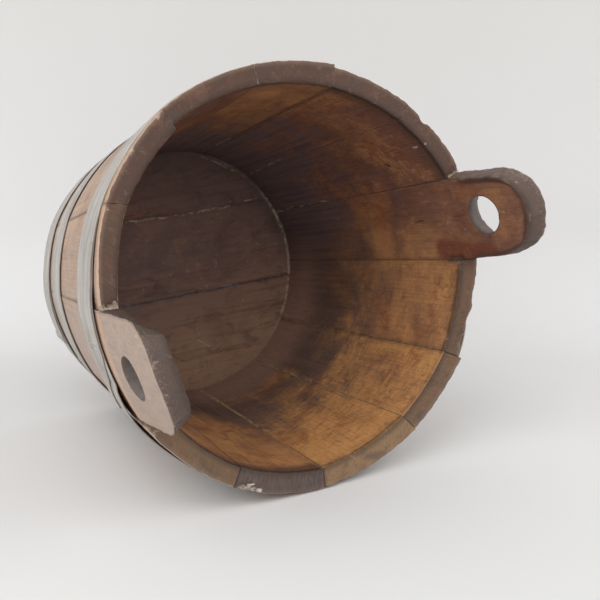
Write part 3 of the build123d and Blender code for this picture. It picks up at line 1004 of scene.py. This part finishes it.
def colour_inside(g, wood):
    """Brown to golden wood under a dark stain that is deepest next to the head, with painted shade just
    under the rim.
    """
    wisps = g.noise(wood.board, (42, 42, 150), 5.0, 0.62, 2.2)
    ripple = g.noise(wood.board, (90, 90, 150), 3.0, 0.6, 2.0)
    scraped = g.span(wood.tone, 0.5, 0.8, 0.1, 1.0)
    warmth = g.plus(wood.tone, g.sway(wood.cloud, 1.3), g.times(g.minus(wisps, 0.5), scraped, 0.8))
    ruddy = g.noise(wood.place, 33.0, 4.0, 0.6, 0.8)
    blotch = g.noise(wood.board, (75, 75, 42), 5.0, 0.68, 1.2)
    curl = g.times(g.attribute("figure"), g.span(wood.cloud, 0.36, 0.58))
    rubbed = g.strands(wood.place, [(inner_place(-9.5, 168), inner_place(-10.0, 222), 20.0)])
    stain = g.strands(wood.place, [(inner_place(-11.5, 238), inner_place(-13.5, 290), 11.0)])
    worn = g.times(g.span(wood.height, 0.262, 0.285), g.span(wood.edge, 0.005, 0.20))
    damp = g.plus(wood.height, g.sway(wood.broad, 0.07), g.sway(wood.cloud, 0.26), g.sway(wisps, 0.06),
                  g.sway(wood.streak, 0.09))
    damp = g.span(damp, 0.185, 0.085)
    front = g.span(wood.y, 0.03, -0.03)
    damp_wood = g.blend(g.span(wood.streak, 0.35, 0.7), g.blend(front, "6e5d5e", "67524a"),
                        g.blend(front, "5a4e53", "524240"))
    # painted shade: a broad dark streak on the inner face
    painted_shade_streak = g.strands(wood.place, [(inner_place(-26, 88), inner_place(-29, 122), 26.0)])
    painted_shade_streak = g.times(painted_shade_streak, g.span(g.plus(wood.cloud, g.minus(wood.streak, 0.5)), 0.3, 0.7, 0.1, 0.7))
    foot = g.plus(wood.height, g.sway(wood.mottle, 0.012))
    front_foot = g.span(g.plus(wood.y, g.times(wood.x, -0.4)), -0.04, -0.11)
    ring = g.times(g.span(foot, 0.062, 0.045, 0.0, 0.35), g.minus(1.0, front_foot))
    dusty = g.times(g.span(foot, 0.100, 0.060), g.span(wood.fine, 0.3, 0.6, 0.55, 0.95))
    # painted shade under the rim's inner edge, partly a dark stain
    lip_shade_strength = g.attribute("lip_stain_and_shade")
    lip_stain_and_shade = g.plus(lip_shade_strength, g.sway(wood.mottle, 0.35), g.sway(wood.cloud, 0.5))
    up_board = g.minus(g.xyz(wood.board)[2], g.times(wood.tone, PATTERN_SHIFT * MM))
    # painted shadow: a crisp dark line just under the rim's inner edge
    rim_edge_shadow = g.span(g.plus(up_board, g.sway(wood.mottle, 0.003)), 0.2500, 0.2530)
    rim_edge_shadow = g.times(rim_edge_shadow, g.span(lip_shade_strength, 0.2, 0.6, 0.0, 0.8))
    beside = g.times(g.attribute("lines"), g.span(wood.soft_joint, 0.0042, 0.0008))
    scores = g.strands(wood.wavered, [
        (inner_place(61.8, 46), inner_place(61.2, 100), 1.6),
        (inner_place(34.8, 42), inner_place(36.8, 105), 1.2),
        (inner_place(10.6, 44), inner_place(11.6, 118), 0.9),
        (inner_place(-0.9, 192), inner_place(-1.6, 212), 0.9),
        (inner_place(24.4, 250), inner_place(24.4, 253), 1.2),
    ])
    litter = g.times(g.attribute("crumbs"), g.span(wood.joint, 0.0022, 0.0009))
    litter = g.times(litter, g.span(wood.mottle, 0.40, 0.56), g.span(wood.height, 0.20, 0.08, 0.35, 1.0))
    return g.coats(g.blend(g.span(warmth, 0.1, 1.05), "69453a", "cd9459"), [
        (g.span(ruddy, 0.48, 0.70, 0.0, 0.6), "85492b"),
        (g.times(wood.grain["Rings"], 0.14), "5b3a2a"),
        (g.span(wood.streak, 0.5, 0.8, 0.0, 0.40), "5a392b"),
        (g.span(wood.fine, 0.52, 0.78, 0.0, 0.30), "4c3128"),
        (g.span(wood.fine, 0.48, 0.22, 0.0, 0.18), "cf9966"),
        (g.span(blotch, 0.53, 0.68, 0.0, 0.40), "55352a"),
        (g.span(blotch, 0.47, 0.34, 0.0, 0.28), "b87f52"),
        (g.times(curl, g.span(ripple, 0.52, 0.66, 0.0, 0.6)), "a87857"),
        (g.times(curl, g.span(ripple, 0.48, 0.34, 0.0, 0.6)), "4c3129"),
        (g.times(rubbed, g.span(wood.cloud, 0.35, 0.60, 0.10, 0.42)), "c08a56"),
        (g.times(stain, g.span(wood.mottle, 0.3, 0.6, 0.5, 0.85)), "66301f"),
        (g.times(worn, g.span(wood.cloud, 0.3, 0.6, 0.55, 0.95)), "432d25"),
        (g.times(scraped, g.span(wisps, 0.54, 0.72, 0.0, 0.4)), "d09f60"),
        (g.times(scraped, g.span(wisps, 0.46, 0.30, 0.0, 0.4)), "74482c"),
        (g.times(scraped, g.span(wood.mottle, 0.56, 0.74, 0.0, 0.22)), "5d4634"),
        (g.times(wood.grime["Specks"], 0.35), "3f2a20"),
        (g.times(wood.grime["Patches"], g.span(wood.height, 0.24, 0.10, 0.10, 0.5)), "5a4035"),
        (g.times(damp, 0.93), damp_wood),
        # painted shade streak
        (painted_shade_streak, "4d3a33"),
        (ring, "3d302d"),
        (g.times(dusty, front_foot), "a07e6d"),
        # painted shade under the rim, partly stain
        (g.span(lip_stain_and_shade, 0.25, 0.85, 0.0, 0.80), "4b342b"),
        # painted shadow line under the rim's edge
        (rim_edge_shadow, "2c1c17"),
        (g.times(beside, g.span(wood.mottle, 0.2, 0.6, 0.95, 0.55)), "3a2820"),
        (g.times(wood.cracks, g.span(wood.mottle, 0.3, 0.6, 0.25, 0.75)), "3b2820"),
        (g.times(scores, g.span(wood.mottle, 0.42, 0.60), 0.8), "b3a597"),
        (litter, "c2a678"),
    ])


def colour_outside(g, wood):
    """Pale scrubbed wood, with rust and dirt along the hoops."""
    rims = [rim for band in BANDS.values() for rim in band[:2]]
    near_iron = g.sum_of([
        g.span(g.math("ABSOLUTE", g.minus(wood.height, rim * MM)), 0.006, 0.001) for rim in rims])
    at_lug = g.span(wood.y, 0.046, 0.032)
    rusted = g.times(near_iron, g.span(wood.cloud, 0.35, 0.65, 0.15, 0.6),
                     g.math("MAXIMUM", at_lug, g.span(wood.height, 0.239, 0.235)))
    bleached = g.times(g.span(wood.y, 0.050, 0.005), g.span(wood.cloud, 0.38, 0.60, 0.15, 0.75))
    strip = g.times(g.span(wood.height, 0.2445, 0.2465), g.span(wood.height, 0.268, 0.256, 0.35, 1.0),
                    g.span(wood.cloud, 0.35, 0.65, 0.4, 0.85))
    under = g.times(g.span(wood.height, 0.2485, 0.2435), g.span(wood.height, 0.236, 0.242), at_lug, 0.75)
    # partly a crack in the stave, partly painted shadow where the hoop stands off the wood
    crack_and_shadow_line = g.strands(wood.wavered, [
        (outer_place(125.5, 164), outer_place(131.5, 166), 1.2),
        (outer_place(131.5, 166), outer_place(135.5, 148), 1.4),
        (outer_place(132.7, 158), outer_place(134.7, 161), 2.2),
    ])
    patch = g.noise(wood.place, 24.0, 5.0, 0.7, 1.0)
    ear = g.blend(g.span(wood.mottle, 0.3, 0.7), "a08c80", "b09d90")
    return g.coats(g.blend(g.span(wood.broad, 0.3, 0.7), "c2b0a5", "dabca2"), [
        (g.span(wood.cloud, 0.40, 0.75, 0.0, 0.8), "a4876f"),
        (g.times(wood.grain["Rings"], 0.22), "7d6250"),
        (g.span(wood.streak, 0.54, 0.74, 0.0, 0.45), "7f6455"),
        (g.times(wood.grime["Patches"], 0.25), "8b6f5c"),
        (g.span(wood.fine, 0.5, 0.8, 0.0, 0.4), "77655b"),
        (g.span(wood.fine, 0.5, 0.2, 0.0, 0.5), "cdbdae"),
        (g.times(wood.grime["Specks"], 0.5), "d9cfc4"),
        (g.span(patch, 0.52, 0.66, 0.0, 0.5), "c9bcb4"),
        (g.times(bleached, g.span(wood.height, 0.200, 0.190)), "cdbeb7"),
        (rusted, "6b4d3a"),
        (strip, "c7a388"),
        (under, "5e4232"),
        (g.span(wood.height, 0.252, 0.264, 0.0, 0.8), ear),
        (g.span(wood.height, 0.253, 0.2475, 0.0, 0.35), "8a6a52"),
        (g.span(wood.soft_joint, 0.003, 0.0006, 0.0, 0.5), "7a6052"),
        # crack and painted shadow line
        (g.times(crack_and_shadow_line, g.span(wood.mottle, 0.35, 0.65, 0.1, 0.55)), "4f3b30"),
    ])


def colour_end_grain(g, wood):
    """Grey brown end grain, edges and walls of the ears' holes, with a painted highlight along the outer
    edge and painted shade, partly grime, darker towards the inside.
    """
    rays = g.noise(wood.board, (900, 170, 60), 4.0, 0.65)
    patch = g.noise(wood.place, 42.0, 5.0, 0.65, 0.8)
    on_ear = g.span(wood.height, 0.262, 0.30)
    scuffs = g.noise(wood.board, (650, 650, 120), 4.0, 0.7, 0.4)
    scuffs = g.times(g.span(scuffs, 0.52, 0.64), g.span(wood.depth, 0.010, 0.001, 0.1, 1.0),
                     g.span(wood.height, 0.335, 0.290, 0.45, 1.0))
    bruises = g.span(g.noise(wood.place, 330.0, 4.0, 0.7), 0.52, 0.64)
    bruises = g.times(g.span(wood.edge, 0.25, 0.7), bruises, g.span(wood.cloud, 0.40, 0.60))
    ash = g.strands(wood.wavered, [(rim_place(230, 143), rim_place(254, 144), 12.0)])
    splinters = g.strands(wood.wavered, [
        (rim_place(229.6, 148.5), rim_place(231.8, 149.0), 2.2),
        (rim_place(231.2, 147.0), rim_place(233.0, 145.5), 1.4),
        (rim_place(232.6, 149.5), rim_place(235.4, 149.0), 2.0),
    ])
    splinters = g.times(splinters, g.span(wood.mottle, 0.38, 0.52))
    opened = g.attribute("open")
    hair = g.times(g.span(opened, 0.3, 0.0), g.span(wood.joint, 0.0009, 0.0004))
    seam = g.strands(wood.place, [(rim_place(84, 134), rim_place(84, 150), 0.7)])
    paleness = g.span(g.plus(g.attribute("ends"), g.sway(wood.cloud, 0.5)), 0.0, 1.0)
    return g.coats(g.blend(paleness, "563d30", "937452"), [
        (g.span(patch, 0.50, 0.68, 0.0, 0.55), "75503f"),
        (g.span(patch, 0.48, 0.32, 0.0, 0.60), "4f423f"),
        (g.times(wood.grain["Rings"], 0.18), "43322a"),
        (g.span(rays, 0.52, 0.75, 0.0, 0.4), "3f3029"),
        (g.span(wood.mottle, 0.52, 0.74, 0.0, 0.25), "937c6a"),
        # painted highlight: the end grain is lighter along its outer edge
        (g.span(wood.depth, 0.0045, 0.0, 0.0, 0.3), "a08a78"),
        (g.span(wood.grime["Patches"], 0.2, 0.9, 0.0, 0.3), "4a382e"),
        (g.times(on_ear, 0.6), "5e504a"),
        (g.times(on_ear, g.times(scuffs, 0.6)), "b3a597"),
        (g.times(on_ear, g.times(bruises, 0.7)), "cdc1b4"),
        (g.times(ash, 0.45), g.blend(g.span(rays, 0.4, 0.6), "6f6664", "544b49")),
        (g.times(g.attribute("bore"), 0.7), g.blend(wood.mottle, "453d39", "918883")),
        # painted shade, partly grime: the end grain darkens towards its inner edge
        (g.span(wood.depth, 0.0090, 0.0145, 0.0, 0.65), "3c2c24"),
        (g.times(wood.grime["Specks"], 0.12), "b7a594"),
        (g.times(opened, g.span(wood.joint, 0.0012, 0.0003, 0.0, 0.4)), "33271f"),
        (g.times(hair, g.span(wood.mottle, 0.40, 0.60, 0.0, 0.15)), "a3917f"),
        (splinters, "ddd3c8"),
        (g.times(seam, g.span(wood.mottle, 0.35, 0.60, 0.1, 0.4)), "a3917f"),
    ])


def make_stave_material():
    """Old stave: scrubbed pale outside, stained and worn inside, grey brown end grain."""
    g, shader, material = new_material("stave_wood")
    wood = stave_patterns(g)
    fresh = g.blend(g.span(wood.fine, 0.35, 0.65), "8f7a66", "cbbcab")
    broken = g.plus(g.times(wood.chip, 1.2), g.sway(wood.mottle, 2.2))
    colour = g.coats(g.blend(wood.inside, colour_end_grain(g, wood), colour_inside(g, wood)), [
        (wood.outside, colour_outside(g, wood)),
        (g.times(g.span(broken, 0.3, 1.0, 0.0, 0.8), g.span(wood.chip, 0.02, 0.3)), fresh),
    ])
    g.feed(colour, shader, "Base Color")
    gloss = g.times(wood.inside, g.span(wood.streak, 0.3, 0.7, 0.22, 0.10))
    g.feed(g.minus(g.span(wood.mottle, 0.3, 0.7, 0.68, 0.80), gloss), shader, "Roughness")
    relief = g.plus(g.times(wood.grain["Rings"], -0.4), g.times(g.span(wood.fine, 0.25, 0.75), 0.5),
                    g.times(wood.mottle, 0.6))
    relief = g.minus(g.minus(relief, g.times(wood.grain["Pores"], 0.5)), wood.cracks)
    g.feed(g.bump(relief, 0.7, 0.0006), shader, "Normal")
    return material


def make_head_material():
    """Head boards: dark stained brown, rubbed, with dust, cobweb and a ring of dried dirt."""
    g, shader, material = new_material("head_wood")
    board = g.attribute("board", "Vector")
    place = g.node("TexCoord").outputs["Object"]
    x, y = g.xyz(place)[:2]
    edge = g.attribute("edge")
    grain = g.use(GRAIN, {"Board": board, "Ring Width": 0.0036, "Waviness": 0.018})
    streak = g.noise(board, (150, 150, 7), 5.0, 0.65)
    fine = g.noise(board, (430, 430, 90), 5.0, 0.7, 0.8)
    cloud = g.noise(place, 16.0, 6.0, 0.62, 0.5)
    mottle = g.noise(place, 190.0, 4.0, 0.65)
    grime = g.use(GRIME, {"Vector": place, "Scale": 22.0, "Cover": 0.42})
    lower = g.span(g.plus(y, g.sway(cloud, 0.08)), 0.0, -0.075)
    band = g.times(g.span(y, 0.056, 0.064), g.span(y, 0.088, 0.074), g.span(x, 0.0, -0.04))
    ruddy = g.span(g.plus(cloud, g.span(streak, 0.4, 0.7, 0.0, 0.2)), 0.62, 0.85, 0.0, 0.5)
    blotch = g.noise(board, (60, 60, 34), 5.0, 0.68, 1.2)
    wavered = g.use(WAVER, {"Vector": place, "Scale": 45.0, "Reach": 0.009})["Vector"]
    soft = g.span(g.plus(edge, g.sway(mottle, 0.5)), 0.25, 1.0)
    wall_side = g.plus(g.times(x, 0.45), g.times(y, 0.9), g.sway(cloud, 0.09))
    from_axis = g.vector("LENGTH", g.stretch(place, (1, 1, 0)))
    border = g.plus(from_axis, g.sway(cloud, 0.05), g.sway(mottle, 0.012))
    border = g.times(g.span(border, 0.088, 0.106, 0.0, 0.5), g.span(y, -0.05, 0.0, 0.15, 1.0))
    debris = g.strands(wavered, [(head_place(-92, -2), head_place(84, -37), 2.2)])
    debris = g.times(debris, g.span(mottle, 0.44, 0.60), g.span(cloud, 0.35, 0.6, 0.25, 0.7))
    webs = g.strands(wavered, [
        (head_place(14, 103), head_place(46, 92), 0.7),
        (head_place(46, 92), head_place(76, 68), 1.2),
        (head_place(-88, 69), head_place(-12, 53), 1.4),
        (head_place(-12, 53), head_place(60, 39), 1.4),
        (head_place(-40, 96), head_place(14, 103), 0.8),
        (head_place(60, 44), head_place(98, 33), 0.9),
        (head_place(28, -6), head_place(33, 4), 1.6),
        (head_place(-30, -42), head_place(10, -80), 0.8),
    ])
    ring = g.span(g.math("ABSOLUTE", g.minus(from_axis, 0.1022)), 0.0020, 0.0005)
    ring = g.times(ring, g.span(x, 0.055, 0.085), g.span(cloud, 0.38, 0.62))
    dust = g.times(g.sum_of([webs, g.times(ring, 0.8)]), g.span(mottle, 0.40, 0.58))
    worn = g.span(g.plus(cloud, g.sway(streak, 0.5)), 0.3, 0.75)
    colour = g.coats(g.blend(worn, "6f564e", "8f6f61"), [
        (g.times(lower, 0.8), "a98469"),
        (g.times(band, g.span(streak, 0.35, 0.65, 0.3, 0.8)), "95624b"),
        (ruddy, "8f5f4c"),
        (g.times(grain["Rings"], 0.10), "4a3731"),
        (g.span(streak, 0.52, 0.76, 0.0, 0.42), "48372f"),
        (g.span(fine, 0.5, 0.8, 0.0, 0.35), "40302c"),
        (g.span(blotch, 0.52, 0.68, 0.0, 0.45), "3d302c"),
        (g.span(blotch, 0.48, 0.34, 0.0, 0.35), "94715f"),
        (g.span(fine, 0.5, 0.2, 0.0, 0.25), "a38c7c"),
        (g.times(grime["Patches"], 0.35), "55433d"),
        (g.times(grime["Specks"], 0.35), "b3a291"),
        (g.times(soft, g.span(y, 0.03, 0.01, 0.3, 0.65)), "33272a"),
        (g.span(wall_side, 0.035, 0.10, 0.0, 0.45), "54423d"),
        (border, "453631"),
        (debris, "8b8889"),
        (g.times(dust, 0.75), "c4b7a6"),
    ])
    g.feed(colour, shader, "Base Color")
    g.feed(g.span(streak, 0.3, 0.7, 0.55, 0.72), shader, "Roughness")
    relief = g.plus(g.times(grain["Rings"], -0.4), g.times(fine, 0.5), g.times(mottle, 0.5), dust)
    g.feed(g.bump(relief, 0.7, 0.0006), shader, "Normal")
    return material


def make_iron_material(name, light, dark):
    """Dull pale iron, streaked along the strip, rusty in patches and brown at its edges."""
    g, shader, material = new_material(name)
    strip = g.attribute("board", "Vector")
    place = g.node("TexCoord").outputs["Object"]
    edge = g.attribute("edge")
    streak = g.noise(strip, (14, 300, 260), 5.0, 0.65)
    cloud = g.noise(place, 30.0, 6.0, 0.65)
    fine = g.noise(place, 420.0, 4.0, 0.7)
    grime = g.use(GRIME, {"Vector": place, "Scale": 34.0, "Cover": 0.36})
    rusty = g.span(g.plus(g.sway(cloud, 0.9), g.times(edge, 0.62)), 0.42, 0.85)
    bright = g.span(g.plus(streak, g.sway(cloud, 0.5)), 0.32, 0.68)
    colour = g.coats(g.blend(bright, dark, light), [
        (g.span(fine, 0.55, 0.75, 0.0, 0.35), "7d746c"),
        (g.times(grime["Patches"], 0.35), "8a7a6c"),
        (g.times(rusty, 0.85), "53402f"),
        (g.times(grime["Specks"], 0.45), "6b5140"),
    ])
    g.feed(colour, shader, "Base Color")
    g.feed(g.minus(0.35, g.times(rusty, 0.3)), shader, "Metallic")
    g.feed(g.span(cloud, 0.3, 0.7, 0.48, 0.66), shader, "Roughness")
    relief = g.plus(streak, cloud, g.times(fine, 0.4))
    g.feed(g.bump(relief, 0.5, 0.0006), shader, "Normal")
    return material


def make_dowel_material():
    """Plain turned dowel wood."""
    g, shader, material = new_material("dowel_wood")
    place = g.node("TexCoord").outputs["Object"]
    streak = g.noise(place, (500, 30, 500), 5.0, 0.6)
    g.feed(g.blend(g.span(streak, 0.3, 0.7), "7a5b40", "a98562"), shader, "Base Color")
    shader.inputs["Roughness"].default_value = 0.75
    g.feed(g.bump(streak, 0.4, 0.0004), shader, "Normal")
    return material


# ---- Stage, light and camera ---------------------------------------------------

CAMERA_PLACE = Vector((-326.7, 147.2, 892.1)) * MM
CAMERA_TARGET = Vector((-6.7, -13.3, 251.0)) * MM
CAMERA_LENS = 63.22
LYING_AZIMUTH = math.radians(254.2)     # the side that the tub lies on
HOOP_PROUD = 1.6            # the floor's distance from the even shell
WALL_BEHIND = 1.16          # from the camera; the room's sizes are in metres
WALL_TALL = 2.2
ROOM_REACH = 2.5            # to each side, and behind the camera
SWEEP_RADIUS = 0.12
SKY_COLOUR, SKY_STRENGTH = (0.93, 0.95, 1.0, 1), 0.43
LAMP_TARGET = (0, 0.75, 0.15)
LAMPS = {                   # place on the stage, size in metres, power in watts
    "key_light": ((-0.8, -0.4, 1.4), 1.8, 13.2),
    "front_light": ((0.0, -0.5, 1.5), 1.6, 9.8),
    "left_light": ((-1.4, -0.1, 0.7), 1.3, 6.5),
    "right_light": ((1.4, 0.4, 1.0), 1.4, 9.5),
}

lean = math.atan(TAPER)
floor_up = -around_axis(LYING_AZIMUTH, math.cos(lean), -math.sin(lean))
floor_point = (around_axis(LYING_AZIMUTH, RIM_RADIUS, TUB_HEIGHT) - floor_up * HOOP_PROUD) * MM
view_line = (CAMERA_TARGET - CAMERA_PLACE).normalized()
stage_right = view_line.cross(floor_up).normalized()
stage_away = floor_up.cross(stage_right)
camera_height = (CAMERA_PLACE - floor_point).dot(floor_up)
under_camera = CAMERA_PLACE - floor_up * camera_height


def on_stage(right, away, up):
    """Point of the room, in metres from the floor under the camera."""
    return under_camera + stage_right * right + stage_away * away + floor_up * up


def make_camera():
    """Camera that looks down into the lying tub."""
    data = bpy.data.cameras.new("camera")
    data.lens = CAMERA_LENS
    data.clip_start = 0.02
    camera = add_object("camera", data)
    turn = Matrix((stage_right, stage_right.cross(view_line), -view_line)).transposed()
    camera.matrix_world = Matrix.Translation(CAMERA_PLACE) @ turn.to_4x4()
    bpy.context.scene.camera = camera


def make_stage():
    """Floor that sweeps up into a wall, one smooth sheet seen from its front only."""
    bm = bmesh.new()
    floor = [bm.verts.new((-ROOM_REACH, a, 0)) for a in (-ROOM_REACH, WALL_BEHIND - SWEEP_RADIUS)]
    bm.edges.new(floor)
    bmesh.ops.spin(bm, geom=[floor[1]], cent=(-ROOM_REACH, WALL_BEHIND - SWEEP_RADIUS, SWEEP_RADIUS),
                   axis=(1, 0, 0), steps=16, angle=math.pi / 2)
    sweep_end = max(bm.verts, key=lambda v: v.co.y)
    bm.edges.new((sweep_end, bm.verts.new((-ROOM_REACH, WALL_BEHIND, WALL_TALL))))
    made = bmesh.ops.extrude_edge_only(bm, edges=bm.edges[:])["geom"]
    far_side = [v for v in made if isinstance(v, bmesh.types.BMVert)]
    bmesh.ops.translate(bm, vec=(2 * ROOM_REACH, 0, 0), verts=far_side)
    for v in bm.verts:
        v.co = on_stage(*v.co)
    bm.normal_update()
    for face in bm.faces:
        if face.normal.dot(on_stage(0, 0, 1) - face.calc_center_median()) < 0:
            face.normal_flip()
    add_mesh(bm, "room", make_room_material())


def make_room_material():
    """Pale paint, a little warmer up the wall and darkened there with painted shade, that can't be seen
    from behind.
    """
    g, shader, material = new_material("pale_room")
    place = g.node("TexCoord").outputs["Object"]
    cloud = g.noise(place, 1.5, 2.0)
    up = g.minus(g.vector("DOT_PRODUCT", place, tuple(floor_up)), floor_point.dot(floor_up))
    # the wall's colour is a warmer paint darkened with painted shade, blended in up the wall
    floor_paint, wall_paint_and_shade = g.blend(cloud, "dfdedc", "e3e2e1"), g.blend(cloud, "d4d2ce", "d8d6d3")
    g.feed(g.blend(g.span(up, 0.10, 0.45), floor_paint, wall_paint_and_shade), shader, "Base Color")
    shader.inputs["Roughness"].default_value = 0.9
    behind = g.node("NewGeometry").outputs["Backfacing"]
    clear = g.node("BsdfTransparent").outputs[0]
    seen = g.node("MixShader", {0: behind, 1: shader.outputs[0], 2: clear}).outputs[0]
    g.feed(seen, g.tree.nodes["Material Output"], "Surface")
    return material


def light_room():
    """Soft daylight from all round, and four square lamps that face the tub."""
    scene = bpy.context.scene
    scene.view_settings.view_transform = "Standard"
    scene.world = bpy.data.worlds.new("soft_daylight")
    scene.world.use_nodes = True
    background = scene.world.node_tree.nodes["Background"]
    background.inputs["Color"].default_value = SKY_COLOUR
    background.inputs["Strength"].default_value = SKY_STRENGTH
    tub = on_stage(*LAMP_TARGET)
    for name, (place, size, power) in LAMPS.items():
        data = bpy.data.lights.new(name, "AREA")
        data.shape = "SQUARE"
        data.size = size
        data.energy = power
        lamp = add_object(name, data)
        lamp.location = on_stage(*place)
        lamp.rotation_euler = (tub - lamp.location).to_track_quat("-Z", "Y").to_euler()


# ---- The tub -------------------------------------------------------------------

make_camera()
make_stage()
light_room()

stave_material = make_stave_material()
for stave in STAVES:
    make_stave(stave, stave_material)
head_material = make_head_material()
for board_name in HEAD_BOARDS:
    make_head_board(board_name, head_material)
hoop_material = make_iron_material("hoop_iron", "c6c1ba", "a09a93")
rivet_material = make_iron_material("rivet_iron", "cbc7c1", "a19b94")
for hoop in HOOPS:
    make_hoop(hoop, hoop_material)
    make_rivets(hoop, rivet_material)
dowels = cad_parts["head_dowels"]
dowels.data.materials.clear()
dowels.data.materials.append(make_dowel_material())
